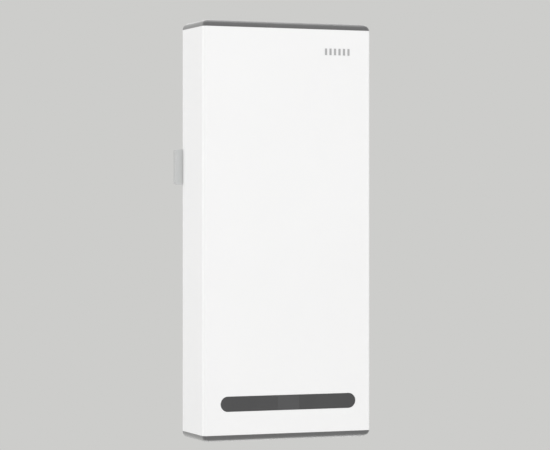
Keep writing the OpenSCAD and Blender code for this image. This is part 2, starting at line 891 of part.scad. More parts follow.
// Foam strip round the front face of the frame
module filter_seal() {
    x_mid = (filter_x0 + filter_x1) / 2;
    color("dimgray") difference() {
        plate(filter_l / 2 - 1, filter_h / 2 - 1, 2, filter_y0 - seal_t, filter_y0, x_mid, duct_z);
        plate(filter_l / 2 - 4, filter_h / 2 - 4, 1, filter_y0 - seal_t - eps, filter_y0 + eps,
              x_mid, duct_z);
    }
}

// Tab that the cassette is pulled out by
module pull_tab() {
    tab_x0 = -half_w - tab_out;
    tab_y = [rear_y + 0.7, rear_y + 8.2];
    corner_r = 3;
    color("lightgray") difference() {
        union() {
            plate((filter_x0 - tab_x0) / 2, tab_h / 2, corner_r, tab_y[0], tab_y[1],
                  (filter_x0 + tab_x0) / 2, duct_z);
            block([filter_x0 - corner_r - 1, tab_y[0], duct_z - tab_h / 2],
                  [filter_x0, tab_y[1], duct_z + tab_h / 2]);
        }
        block([tab_x0 + 2.4, tab_y[0] + 2, duct_z - tab_h / 2 + 3],
              [filter_x0 - 2, tab_y[1] + eps, duct_z + tab_h / 2 - 3]);
    }
}

// ---------- Cover ----------

// Cross-section of the sleeve, inset all round by some amount
module sleeve_section(inset) {
    r = edge_r - inset;
    square_x = half_w - edge_r;
    translate([-half_w + inset, front_y + edge_r]) square([body_w - 2 * inset, sleeve_d - edge_r - inset]);
    translate([-square_x, front_y + inset]) square([2 * square_x, sleeve_d - 2 * inset]);
    for (sx = [-1, 1]) translate([sx * square_x, front_y + edge_r]) circle(r, $fn = 64);
}

// White sheet, folded round the front, the sides and a narrow return at the back
module sleeve() {
    color("white") difference() {
        linear_extrude(2 * sleeve_half_h, center = true) difference() {
            sleeve_section(0);
            sleeve_section(sheet_t);
            translate([-half_w + sheet_t + flange_w, rear_y - sheet_t - eps])
                square([body_w - 2 * (sheet_t + flange_w), sheet_t + 2 * eps]);
        }
        plate(window_w / 2, window_h / 2, window_h / 2 - 0.01, front_y - eps, front_y + sheet_t + eps,
              window_x, win_z);
    }
}

// Outer shape of an end cap: a slab whose upper edges curve in
module cap_shell() {
    steps = 9;
    slab = 0.05;
    hull() for (i = [0 : steps]) {
        a = 90 * i / steps;
        inset = cap_h * (1 - cos(a)) * 0.96;
        translate([0, 0, sleeve_half_h + (cap_h - slab) * sin(a)]) linear_extrude(slab) {
            translate([-half_w + inset, rear_y - 6]) square([body_w - 2 * inset, 6]);
            for (sx = [-1, 1]) translate([sx * (half_w - inset - edge_r), front_y + inset + edge_r])
                circle(edge_r, $fn = 32);
        }
    }
}

// Grey end cap with air slots and a skirt that fits inside the sleeve
module end_cap() {
    skirt_x = half_w - sheet_t - 0.15;
    skirt_y = front_y + sheet_t + 0.15;
    z0 = sleeve_half_h;
    grille_y = front_y + 16;
    difference() {
        union() {
            cap_shell();
            block([-skirt_x + 4, skirt_y, z0 - skirt_h], [skirt_x - 4, skirt_y + skirt_t, z0 + 0.5]);
            both_sides() block([skirt_x - skirt_t, front_y + edge_r + 2, z0 - skirt_h],
                               [skirt_x, rear_y - 4, z0 + 0.5]);
        }
        both_sides() stand_rod(1.5, z0 - eps, z0 + 2.6, arm_x[0] + 3.5, pivot_y - 20);
        // Pocket under the skin, which leaves the ends solid for the hinge arms
        block([-98, front_y + 6, z0 - eps], [98, rear_y - 6, z0 + cap_h - cap_skin]);
        for (row = [0 : grille_rows - 1], col = [0 : grille_cols - 1])
            translate([slot_pitch_x * (col - (grille_cols - 1) / 2), grille_y + slot_pitch_y * row, z0])
                linear_extrude(cap_h + 2 * eps) round_rect(slot_l / 2, slot_w / 2, slot_w / 2 - 0.01);
    }
}

module top_cap() {
    color("gray") end_cap();
}

module bottom_cap() {
    color("gray") mirror([0, 0, 1]) end_cap();
}

// Smoked strip set in the front, with a rim behind the sheet
module display_window() {
    pane_y = front_y + 0.35;
    rim = 3;
    gap = 0.12;
    color("dimgray") translate([window_x, 0, win_z]) difference() {
        union() {
            plate(window_w / 2 - gap, window_h / 2 - gap, window_h / 2 - gap - 0.01, pane_y,
                  front_y + sheet_t + 0.2);
            plate(window_w / 2 + rim, window_h / 2 + rim, window_h / 2 + rim - 0.01, front_y + sheet_t,
                  front_y + sheet_t + 1.4);
        }
        block([-lens_w / 2, pane_y - eps, -window_h], [lens_w / 2, front_y + sheet_t, window_h]);
        block([-lens_w / 2 + 1.5, front_y, -7], [lens_w / 2 - 1.5, front_y + 5, 7]);
    }
}

// Paler lens over the digits
module window_lens() {
    gap = 0.12;
    lens_half = lens_w / 2 - 0.08;
    color("gray") translate([window_x, 0, win_z]) intersection() {
        plate(window_w / 2 - gap, window_h / 2 - gap, window_h / 2 - gap - 0.01, front_y + 0.3,
              front_y + sheet_t);
        block([-lens_half, front_y, -window_h], [lens_half, front_y + sheet_t, window_h]);
    }
}

// Row of plain bars near the top right corner
module front_badge() {
    badge_w = 37.7;
    badge_h = 8.4;
    badge_t = 0.4;
    badge_x = half_w - 64;
    badge_z = half_h - 41;
    pitch = badge_w / badge_bars;
    color("darkgray") for (k = [0 : badge_bars - 1])
        block([badge_x + pitch * k, front_y - badge_t, badge_z],
              [badge_x + pitch * (k + 0.45), front_y, badge_z + badge_h]);
}

// Arms that hang the cover on its hinge pins
module hinge_arms() {
    top_z = sleeve_half_h;
    color("silver") both_sides() difference() {
        union() {
            block([arm_x[0], pivot_y - 12, pivot_z - 7], [arm_x[1], rear_y - sheet_t - 0.3, top_z]);
            block([arm_x[0], pivot_y - 26, top_z - 2], [arm_x[1] + 4, pivot_y - 2, top_z]);
        }
        cross_rod(pin_r, arm_x[0] - eps, arm_x[1] + eps, pivot_y, pivot_z);
        stand_rod(1.5, top_z - 3, top_z + eps, arm_x[0] + 3.5, pivot_y - 20);
    }
}

// Hinge pins, fixed in the arms
module hinge_pins() {
    color("silver") both_sides() {
        cross_rod(pin_r, ear_x[0] - 0.8, arm_x[1] + 0.1, pivot_y, pivot_z);
        cross_rod(2.2, arm_x[1], arm_x[1] + 0.9, pivot_y, pivot_z);
    }
}

// Steel plates on the bottom cap, under the magnets
module catch_plates() {
    color("silver") both_sides()
        block([catch_x - 9, deck_y - 13, -sleeve_half_h - cap_h + cap_skin],
              [catch_x + 9, deck_y - 4, -sleeve_half_h + 1.4]);
}

// Screws that hold the hinge arms to the top cap
module cover_screws() {
    top_z = sleeve_half_h;
    color("silver") both_sides() {
        stand_rod(2.6, top_z - 3.6, top_z - 2, arm_x[0] + 3.5, pivot_y - 20);
        stand_rod(1.45, top_z - 2.1, top_z + 2.4, arm_x[0] + 3.5, pivot_y - 20);
    }
}

// Foam sheet that quietens the cover
module cover_liner() {
    liner_t = 8;
    color("dimgray")
        plate(half_w - 11, 215, 6, front_y + sheet_t + 0.1, front_y + sheet_t + liner_t, 0, 20);
}

// ---------- Drawing ----------

wall_frame();
duct_collar();
collar_screws();
duct_seals();
heat_core();
core_gasket();
core_ring();
deck_plate();
deck_screws();
hinge_brackets();
shutter_base();
shutter_clip();
motor_bracket();
shutter_motor();
motor_screws();
fan_frame();
fan_stator();
fan_coils();
fan_bearings();
fan_mounts();
fan_screws();
fan_grille();
power_board();
transformer();
capacitors();
terminal_block();
control_board();
radio_module();
board_connectors();
board_screws();
display_holder();
display_board();
digit_module();
magnet_holders();
catch_magnets();
cable_grommet();
fan_lead();
motor_lead();
power_lead();
display_ribbon();
filter_frame();
filter_media();
filter_seal();
pull_tab();
shutter_disc();
drive_pinion();
fan_impeller();
fan_shaft();
fan_magnet();
sleeve();
top_cap();
bottom_cap();
display_window();
window_lens();
front_badge();
hinge_arms();
hinge_pins();
catch_plates();
cover_screws();
cover_liner();
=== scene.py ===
"""Looks of the wall ventilator: materials, fine pieces, light and camera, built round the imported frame."""

import json
import math
import random

import bmesh
import bpy
from mathutils import Matrix, Vector

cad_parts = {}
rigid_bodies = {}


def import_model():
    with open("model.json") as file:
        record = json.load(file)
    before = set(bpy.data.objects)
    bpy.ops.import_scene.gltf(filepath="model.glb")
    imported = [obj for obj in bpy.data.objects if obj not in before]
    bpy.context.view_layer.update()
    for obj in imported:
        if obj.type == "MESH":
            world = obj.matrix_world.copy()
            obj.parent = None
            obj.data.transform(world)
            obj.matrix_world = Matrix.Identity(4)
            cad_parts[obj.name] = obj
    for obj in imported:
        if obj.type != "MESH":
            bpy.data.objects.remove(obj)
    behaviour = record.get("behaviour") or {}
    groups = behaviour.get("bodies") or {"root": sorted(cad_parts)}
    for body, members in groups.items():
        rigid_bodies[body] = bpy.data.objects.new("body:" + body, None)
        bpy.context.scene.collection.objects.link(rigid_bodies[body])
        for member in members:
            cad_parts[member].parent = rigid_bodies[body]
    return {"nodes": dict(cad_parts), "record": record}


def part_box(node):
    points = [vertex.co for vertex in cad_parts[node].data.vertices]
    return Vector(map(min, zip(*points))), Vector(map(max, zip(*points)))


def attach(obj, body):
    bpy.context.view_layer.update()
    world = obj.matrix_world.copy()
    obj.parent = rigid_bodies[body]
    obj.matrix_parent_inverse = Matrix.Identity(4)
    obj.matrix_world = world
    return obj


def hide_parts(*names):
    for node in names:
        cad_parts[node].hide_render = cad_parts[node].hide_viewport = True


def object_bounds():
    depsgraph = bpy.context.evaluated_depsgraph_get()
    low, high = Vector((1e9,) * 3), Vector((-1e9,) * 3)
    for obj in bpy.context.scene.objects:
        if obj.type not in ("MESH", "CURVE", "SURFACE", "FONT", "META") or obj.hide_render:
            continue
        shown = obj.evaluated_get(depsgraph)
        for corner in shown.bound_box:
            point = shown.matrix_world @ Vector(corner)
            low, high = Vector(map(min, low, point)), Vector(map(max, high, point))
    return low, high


for leftover in list(bpy.data.objects):
    bpy.data.objects.remove(leftover)
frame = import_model()
cad_low, cad_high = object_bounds()
nodes = frame["nodes"]
body_of_node = {n: b for b, ns in frame["record"]["behaviour"]["bodies"].items() for n in ns}
slot_of_node = {p["node"]: p["material_slot"] for p in frame["record"]["subparts"]}
MM = 0.001

# ---------- Materials ----------

BLACK = (0, 0, 0, 1)
WHITE = (1, 1, 1, 1)


def shade(color, factor):
    """A colour made lighter or darker, with its alpha."""
    return tuple(min(1.0, c * factor) for c in color[:3]) + (1.0,)


class Surface:
    """A procedural material: base colour with variation, grain in the roughness, and a fine bump."""

    def __init__(self, name, color, rough, metallic=0.0, specular=0.5, coat=0.0, coat_rough=0.1):
        self.material = bpy.data.materials.new(name)
        self.material.use_nodes = True
        self.tree = self.material.node_tree
        self.bsdf = self.tree.nodes["Principled BSDF"]
        self.color = color
        self.bsdf.inputs["Base Color"].default_value = shade(color, 1.0)
        self.bsdf.inputs["Roughness"].default_value = rough
        self.bsdf.inputs["Metallic"].default_value = metallic
        self.bsdf.inputs["Specular IOR Level"].default_value = specular
        self.bsdf.inputs["Coat Weight"].default_value = coat
        self.bsdf.inputs["Coat Roughness"].default_value = coat_rough
        self.place = self.add("ShaderNodeTexCoord").outputs["Object"]
        self.height = None

    def add(self, kind, **settings):
        """A new node with some of its settings."""
        made = self.tree.nodes.new(kind)
        for key, value in settings.items():
            setattr(made, key, value)
        return made

    def link(self, out, into):
        self.tree.links.new(out, into)

    def stretched(self, scale):
        """The object's own coordinates, stretched, so that a grain runs one way."""
        mapping = self.add("ShaderNodeMapping")
        mapping.inputs["Scale"].default_value = scale
        self.link(self.place, mapping.inputs["Vector"])
        return mapping.outputs["Vector"]

    def noise(self, scale, detail=3.0, stretch=None):
        """A noise pattern's factor."""
        made = self.add("ShaderNodeTexNoise")
        made.inputs["Scale"].default_value = scale
        made.inputs["Detail"].default_value = detail
        self.link(self.stretched(stretch) if stretch else self.place, made.inputs["Vector"])
        return made.outputs["Fac"]

    def cells(self, scale):
        """A cell pattern's distance."""
        made = self.add("ShaderNodeTexVoronoi")
        made.inputs["Scale"].default_value = scale
        self.link(self.place, made.inputs["Vector"])
        return made.outputs["Distance"]

    def ramp(self, factor, low, high, color_low, color_high):
        """Two colours, blended where the factor passes from low to high."""
        made = self.add("ShaderNodeValToRGB")
        made.color_ramp.elements[0].position = low
        made.color_ramp.elements[0].color = color_low
        made.color_ramp.elements[1].position = high
        made.color_ramp.elements[1].color = color_high
        self.link(factor, made.inputs["Fac"])
        return made.outputs["Color"]

    def vary(self, amount, scale, stretch=None, detail=4.0):
        """Soft drift of the base colour over the surface."""
        factor = self.noise(scale, detail, stretch)
        out = self.ramp(factor, 0.3, 0.7, shade(self.color, 1 - amount), shade(self.color, 1 + amount))
        self.link(out, self.bsdf.inputs["Base Color"])
        self.base = out
        return self

    def overlay(self, factor, color):
        """Another colour over the base where the factor is 1."""
        mix = self.add("ShaderNodeMix", data_type="RGBA")
        self.link(factor, mix.inputs["Factor"])
        self.link(self.base, mix.inputs[6])
        mix.inputs[7].default_value = shade(color, 1.0)
        self.link(mix.outputs[2], self.bsdf.inputs["Base Color"])
        self.base = mix.outputs[2]
        return self

    def worn_edges(self, lighter):
        """Rubbed, paler edges where the surface turns outwards."""
        geometry = self.add("ShaderNodeNewGeometry")
        edge = self.ramp(geometry.outputs["Pointiness"], 0.52, 0.62, BLACK, WHITE)
        scuff = self.ramp(self.noise(220, 5), 0.42, 0.62, BLACK, WHITE)
        both = self.add("ShaderNodeMath", operation="MULTIPLY")
        self.link(edge, both.inputs[0])
        self.link(scuff, both.inputs[1])
        return self.overlay(both.outputs[0], shade(self.color, lighter))

    def grain(self, scale, depth, rough_span=0.06, stretch=None, detail=2.0, pattern=None):
        """Fine relief of a real depth in metres, which also varies the roughness."""
        factor = pattern if pattern else self.noise(scale, detail, stretch)
        bump = self.add("ShaderNodeBump")
        bump.inputs["Distance"].default_value = depth
        self.link(factor, bump.inputs["Height"])
        if self.height:
            self.link(self.height, bump.inputs["Normal"])
        self.height = bump.outputs["Normal"]
        self.link(self.height, self.bsdf.inputs["Normal"])
        if rough_span:
            rough = self.bsdf.inputs["Roughness"].default_value
            spread = self.add("ShaderNodeMapRange")
            spread.inputs["From Min"].default_value = 0.3
            spread.inputs["From Max"].default_value = 0.7
            spread.inputs["To Min"].default_value = max(0.02, rough - rough_span)
            spread.inputs["To Max"].default_value = min(1.0, rough + rough_span)
            self.link(factor, spread.inputs["Value"])
            self.link(spread.outputs["Result"], self.bsdf.inputs["Roughness"])
        return self


def powder_coat(name, color, rough):
    """Sprayed coat with a shallow orange peel."""
    made = Surface(name, color, rough, specular=0.45)
    made.vary(0.006, 9).grain(420, 0.000012, 0.03, detail=1.0).grain(2600, 0.000003, 0)
    return made


def moulded(name, color, rough, specular=0.5, drift=0.025):
    """Spark-eroded mould grain, with slightly rubbed edges."""
    made = Surface(name, color, rough, specular=specular)
    made.vary(drift, 22).worn_edges(1.18).grain(1500, 0.00002, 0.06, detail=3.0)
    return made


def brushed(name, color, rough, stretch):
    """Metal with fine drawn lines."""
    made = Surface(name, color, rough, metallic=1.0)
    made.vary(0.06, 160, stretch).worn_edges(1.15).grain(900, 0.000012, 0.1, stretch=stretch, detail=4.0)
    return made


def make_materials():
    """One material for each of the record's slots."""
    made = {}
    made["white_coat"] = powder_coat("white_coat", (0.912, 0.911, 0.922), 0.42)
    made["deck_coat"] = powder_coat("deck_coat", (0.76, 0.765, 0.76), 0.45)
    made["grey_cap"] = moulded("grey_cap", (0.120, 0.120, 0.123), 0.3, 0.6)
    sheen = made["grey_cap"].bsdf.inputs
    sheen["Sheen Weight"].default_value = 0.45
    sheen["Sheen Roughness"].default_value = 0.5
    made["tab_plastic"] = moulded("tab_plastic", (0.522, 0.530, 0.530), 0.45)
    made["frame_plastic"] = moulded("frame_plastic", (0.66, 0.665, 0.655), 0.5)
    made["black_plastic"] = moulded("black_plastic", (0.022, 0.022, 0.024), 0.42)
    made["white_nylon"] = moulded("white_nylon", (0.78, 0.76, 0.70), 0.45)
    made["part_green"] = moulded("part_green", (0.02, 0.24, 0.10), 0.4)
    made["zinc_steel"] = brushed("zinc_steel", (0.60, 0.61, 0.63), 0.34, (1, 1, 9))
    made["shield_tin"] = brushed("shield_tin", (0.70, 0.70, 0.68), 0.3, (8, 1, 1))
    made["badge_grey"] = brushed("badge_grey", (0.50, 0.50, 0.51), 0.42, (1, 1, 10))

    window = Surface("smoked_window", (0.060, 0.060, 0.0625), 0.16, specular=0.5, coat=0.3, coat_rough=0.05)
    window.vary(0.08, 14).grain(3200, 0.000004, 0.04)
    made["smoked_window"] = window
    lens = Surface("lens", (0.075, 0.0755, 0.0785), 0.13, specular=0.5, coat=0.3, coat_rough=0.05)
    lens.vary(0.06, 18).grain(3600, 0.000003, 0.03)
    made["lens"] = lens

    enamel = Surface("black_coat", (0.03, 0.03, 0.032), 0.38)
    enamel.vary(0.12, 40).worn_edges(2.2).grain(900, 0.000015, 0.06)
    made["black_coat"] = enamel

    copper = Surface("copper", (0.62, 0.24, 0.11), 0.28, metallic=1.0)
    copper.vary(0.15, 300, (1, 9, 1)).grain(60, 0.00018, 0.05, stretch=(1, 40, 1), detail=0.0)
    made["copper"] = copper

    rubber = Surface("rubber", (0.025, 0.025, 0.026), 0.72, specular=0.3)
    rubber.vary(0.2, 60).grain(1800, 0.00003, 0.08)
    made["rubber"] = rubber

    foam = Surface("foam", (0.075, 0.075, 0.080), 0.95, specular=0.1)
    foam.vary(0.25, 90).grain(0, 0.0005, 0, pattern=foam.cells(900)).grain(2600, 0.0002, 0)
    made["foam"] = foam

    ceramic = Surface("core_ceramic", (0.66, 0.52, 0.36), 0.85, specular=0.25)
    ceramic.vary(0.10, 35)
    specks = ceramic.ramp(ceramic.cells(520), 0.05, 0.16, WHITE, BLACK)
    ceramic.overlay(specks, (0.40, 0.28, 0.18)).grain(1400, 0.00008, 0.08, detail=5.0)
    made["core_ceramic"] = ceramic

    paper = Surface("pleated_paper", (0.86, 0.86, 0.82), 0.9, specular=0.15)
    paper.vary(0.06, 260, (1, 1, 6)).grain(1100, 0.00014, 0.05, stretch=(3, 3, 1), detail=6.0)
    made["pleated_paper"] = paper

    board = Surface("board_green", (0.012, 0.115, 0.045), 0.3, specular=0.5, coat=0.4)
    board.vary(0.10, 30)
    tracks = board.add("ShaderNodeTexBrick", offset=0.37, squash=1.6, squash_frequency=3)
    tracks.inputs["Scale"].default_value = 130
    tracks.inputs["Mortar Size"].default_value = 0.035
    tracks.inputs["Color1"].default_value = BLACK
    tracks.inputs["Color2"].default_value = (0.25, 0.25, 0.25, 1)
    tracks.inputs["Mortar"].default_value = WHITE
    turned = board.add("ShaderNodeMapping")
    turned.inputs["Rotation"].default_value = (math.radians(90), 0, 0)
    board.link(board.place, turned.inputs["Vector"])
    board.link(turned.outputs["Vector"], tracks.inputs["Vector"])
    board.overlay(tracks.outputs["Color"], (0.045, 0.24, 0.085))
    board.grain(0, 0.00004, 0, pattern=tracks.outputs["Color"])
    made["board_green"] = board

    tape = Surface("part_yellow", (0.72, 0.48, 0.05), 0.35, coat=0.3)
    tape.vary(0.08, 80).grain(70, 0.0001, 0.06, stretch=(1, 14, 1), detail=0.0)
    made["part_yellow"] = tape
    can = Surface("can_blue", (0.02, 0.03, 0.12), 0.3, coat=0.4)
    can.vary(0.15, 60).grain(900, 0.00001, 0.04)
    made["can_blue"] = can
    for name, color in (("lead_black", (0.02, 0.02, 0.02)), ("lead_red", (0.42, 0.025, 0.02))):
        lead = Surface(name, color, 0.5)
        lead.vary(0.12, 120).grain(1600, 0.00002, 0.06)
        made[name] = lead
    return {name: surface.material for name, surface in made.items()}


materials = make_materials()

# ---------- Mesh helpers ----------

SEED = 7
WELD_GAP = 0.002 * MM
FLAT_WITHIN = math.radians(0.3)
ROUND_ABOVE = math.radians(35)
SHARP_ABOVE = math.radians(38)
dice = random.Random(SEED)


def finish_mesh(obj, bevel=0.0, flatten=False):
    """Welds, rounds the edges and evens the shading, all as modifiers."""
    weld = obj.modifiers.new("weld", "WELD")
    weld.merge_threshold = WELD_GAP
    if flatten:
        flat = obj.modifiers.new("flatten", "DECIMATE")
        flat.decimate_type = "DISSOLVE"
        flat.angle_limit = FLAT_WITHIN
    if bevel:
        round_off = obj.modifiers.new("round_off", "BEVEL")
        round_off.width = bevel
        round_off.segments = 2
        round_off.limit_method = "ANGLE"
        round_off.angle_limit = ROUND_ABOVE
        round_off.use_clamp_overlap = True
        round_off.miter_outer = "MITER_ARC"
    even = obj.modifiers.new("even", "WEIGHTED_NORMAL")
    even.keep_sharp = True


def piece(name, shape, node, replaced=(), slot=None, bevel=0.0):
    """Turns a bmesh into a piece that rides with a CAD node's body and stands for some nodes."""
    mesh = bpy.data.meshes.new(name)
    bmesh.ops.recalc_face_normals(shape, faces=shape.faces)
    shape.to_mesh(mesh)
    shape.free()
    obj = bpy.data.objects.new(name, mesh)
    bpy.context.scene.collection.objects.link(obj)
    slot = slot or slot_of_node[node]
    mesh.materials.append(materials[slot])
    mesh.polygons.foreach_set("use_smooth", [True] * len(mesh.polygons))
    mesh.set_sharp_from_angle(angle=SHARP_ABOVE)
    if bevel:
        finish_mesh(obj, bevel)
    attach(obj, body_of_node[node])
    if replaced:
        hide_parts(*replaced)
    return obj


def box_into(shape, low, high, bevel=0.0):
    """Adds a box, with its edges cut, between two corners."""
    low, high = Vector(low), Vector(high)
    size = high - low
    made = bmesh.ops.create_cube(shape, size=1.0, matrix=Matrix.Translation((low + high) / 2)
                                 @ Matrix.Diagonal((*size, 1.0)))
    if bevel:
        edges = list({e for v in made["verts"] for e in v.link_edges})
        bmesh.ops.bevel(shape, geom=edges, offset=bevel, segments=2, profile=0.5, affect="EDGES")


def lathe_into(shape, profile, centre, axis="Y", steps=48):
    """Adds a turned form: profile is a list of (radius, distance along the axis)."""
    rings = []
    for radius, along in profile:
        ring = []
        for k in range(steps if radius > 1e-7 else 1):
            a = 2 * math.pi * k / steps
            across, up = radius * math.cos(a), radius * math.sin(a)
            offset = (across, along, up) if axis == "Y" else (across, up, along)
            ring.append(shape.verts.new(Vector(centre) + Vector(offset)))
        rings.append(ring)
    for one, two in zip(rings, rings[1:]):
        for k in range(steps):
            j = (k + 1) % steps
            a, b = one[k % len(one)], one[j % len(one)]
            c, d = two[j % len(two)], two[k % len(two)]
            corners = list(dict.fromkeys((a, b, c, d)))
            if len(corners) > 2:
                shape.faces.new(corners)


def loose_boxes(node):
    """The box of each separate solid of a CAD node."""
    shape = bmesh.new()
    shape.from_mesh(nodes[node].data)
    bmesh.ops.remove_doubles(shape, verts=shape.verts, dist=1e-6)
    left, found = set(shape.verts), []
    while left:
        stack = [left.pop()]
        group = list(stack)
        while stack:
            for edge in stack.pop().link_edges:
                for vert in edge.verts:
                    if vert in left:
                        left.discard(vert)
                        stack.append(vert)
                        group.append(vert)
        low = Vector(min(v.co[i] for v in group) for i in range(3))
        high = Vector(max(v.co[i] for v in group) for i in range(3))
        found.append((low, high))
    shape.free()
    found.sort(key=lambda pair: tuple(round(c, 5) for c in pair[0]))
    return found


# ---------- Fine pieces ----------


def tube_into(shape, path, radius, steps=10):
    """Adds a closed round tube along a path."""
    side = None
    rings = []
    for k, point in enumerate(path):
        ahead = (path[min(k + 1, len(path) - 1)] - path[max(k - 1, 0)]).normalized()
        if side is None:
            side = ahead.orthogonal().normalized()
        side = (side - ahead * side.dot(ahead)).normalized()
        other = ahead.cross(side)
        ring = []
        for j in range(steps):
            a = 2 * math.pi * j / steps
            ring.append(shape.verts.new(point + radius * (math.cos(a) * side + math.sin(a) * other)))
        rings.append(ring)
    for one, two in zip(rings, rings[1:]):
        for j in range(steps):
            n = (j + 1) % steps
            shape.faces.new((one[j], one[n], two[n], two[j]))
    shape.faces.new(rings[0])
    shape.faces.new(rings[-1])


def eased(corners, cut, step):
    """A path through the corners, with each bend rounded off and points at even steps."""
    knots = [corners[0]]
    for before, corner, after in zip(corners, corners[1:], corners[2:]):
        into, out = (before - corner), (after - corner)
        start = corner + into.normalized() * min(cut, into.length / 2.1)
        end = corner + out.normalized() * min(cut, out.length / 2.1)
        for k in range(9):
            t = k / 8
            knots.append((1 - t) ** 2 * start + 2 * t * (1 - t) * corner + t * t * end)
    knots.append(corners[-1])
    path = [knots[0]]
    for one, two in zip(knots, knots[1:]):
        count = max(1, round((two - one).length / step))
        path += [one.lerp(two, (k + 1) / count) for k in range(count)]
    return path


def twisted(path, offset, start, turn):
    """A strand that winds round a path at an offset; turn is the length of one turn."""
    side, along, made = None, 0.0, []
    for k, point in enumerate(path):
        ahead = (path[min(k + 1, len(path) - 1)] - path[max(k - 1, 0)]).normalized()
        if side is None:
            side = ahead.orthogonal().normalized()
        side = (side - ahead * side.dot(ahead)).normalized()
        if k:
            along += (point - path[k - 1]).length
        a = start + 2 * math.pi * along / turn
        made.append(point + offset * (math.cos(a) * side + math.sin(a) * ahead.cross(side)))
    return made


def make_lead(node, radius, strands, turn, corners):
    """A bundle of twisted wires in place of a plain round lead, all in mm."""
    path = eased([Vector(c) * MM for c in corners], 7 * MM, 1.2 * MM)
    shape = bmesh.new()
    wire_r = 0.48 * radius * MM
    for k in range(strands):
        wire = twisted(path, radius * MM - wire_r, 2 * math.pi * k / strands, turn * MM)
        tube_into(shape, wire, wire_r)
    piece(node + "_wires", shape, node, replaced=[node])


def make_leads():
    """The three leads, along the same ways as their CAD nodes."""
    make_lead("fan_lead", 1.5, 2, 14, [
        (56, -39, 20.4), (60, -41, 8), (72, -44.1, -30), (75, -41.1, -60), (75, -36.1, -80.4)])
    make_lead("motor_lead", 2, 4, 20, [
        (0, -40.4, -15.5), (1, -40.4, -30), (3, -40.1, -60), (5, -36.1, -97), (13.8, -36.1, -97)])
    make_lead("power_lead", 1.5, 2, 14, [
        (-22, -33.7, -145), (-14, -38.1, -145), (0, -40.1, -139), (8, -37.1, -132), (13.8, -37.1, -132)])


def make_liner():
    """Egg-crate foam in place of the plain liner."""
    low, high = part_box("cover_liner")
    pitch, step, thinnest, corner = 16 * MM, 2 * MM, 3.4 * MM, 6 * MM
    middle = (low + high) / 2
    half_x, half_z = (high.x - low.x) / 2, (high.z - low.z) / 2
    columns, rows = round(2 * half_x / step), round(2 * half_z / step)

    def rounded(u, v):
        """Pulls a point of a square corner onto the round one."""
        over_x, over_z = abs(u) - half_x + corner, abs(v) - half_z + corner
        if over_x <= 0 or over_z <= 0:
            return u, v
        share = max(over_x, over_z) / math.hypot(over_x, over_z)
        return (math.copysign(half_x - corner + over_x * share, u),
                math.copysign(half_z - corner + over_z * share, v))

    shape = bmesh.new()
    grid = []
    for i in range(columns + 1):
        line = []
        for j in range(rows + 1):
            u, v = rounded((2 * i / columns - 1) * half_x, (2 * j / rows - 1) * half_z)
            wave = math.cos(2 * math.pi * u / pitch) * math.cos(2 * math.pi * v / pitch)
            deep = thinnest + (high.y - low.y - thinnest) * (0.5 + 0.5 * wave)
            line.append(shape.verts.new((middle.x + u, low.y + deep, middle.z + v)))
        grid.append(line)
    for i in range(columns):
        for j in range(rows):
            shape.faces.new((grid[i][j], grid[i + 1][j], grid[i + 1][j + 1], grid[i][j + 1]))
    border = [grid[i][0] for i in range(columns)] + [grid[columns][j] for j in range(rows)]
    border += [grid[i][rows] for i in range(columns, 0, -1)] + [grid[0][j] for j in range(rows, 0, -1)]
    back = [shape.verts.new((v.co.x, low.y, v.co.z)) for v in border]
    for k in range(len(border)):
        n = (k + 1) % len(border)
        shape.faces.new((border[k], border[n], back[n], back[k]))
    shape.faces.new(back)
    foam = piece("liner_foam", shape, "cover_liner", replaced=["cover_liner"])


BLADES = 7
BLADE_SECTIONS = 12
POINTS_PER_SIDE = 9


